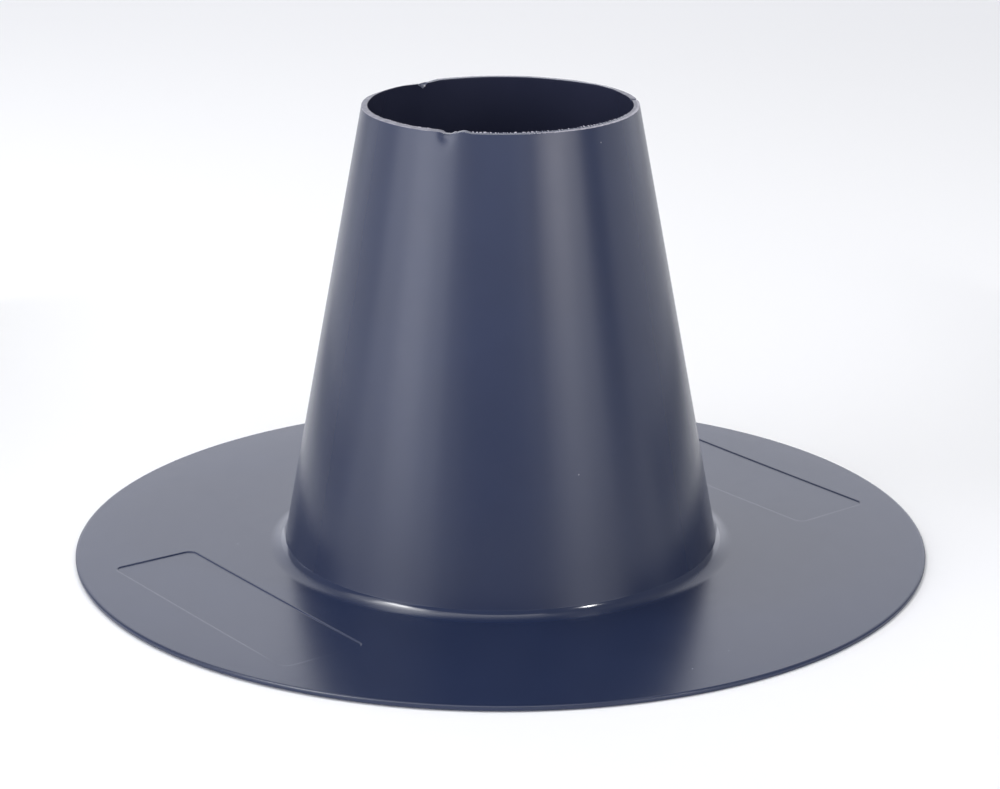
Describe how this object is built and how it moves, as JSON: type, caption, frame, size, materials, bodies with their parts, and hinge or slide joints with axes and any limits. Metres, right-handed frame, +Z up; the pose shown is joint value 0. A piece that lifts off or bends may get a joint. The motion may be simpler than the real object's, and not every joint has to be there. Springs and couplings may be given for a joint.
{
  "type": "pipe sealing collar",
  "caption": "Conical moulded sleeve on a thin round flange that seals a pipe where it passes through a roof or wall membrane.",
  "frame": {"origin": "centre of the flange's underside", "axes": "+Z up the sleeve's axis towards the rim; the pictured side faces -Y"},
  "size_m": [0.3, 0.3, 0.1576],
  "materials": {
    "collar_plastic": "satin"
  },
  "bodies": {
    "root": {"sealing_collar": "collar_plastic"}
  },
  "joints": []
}
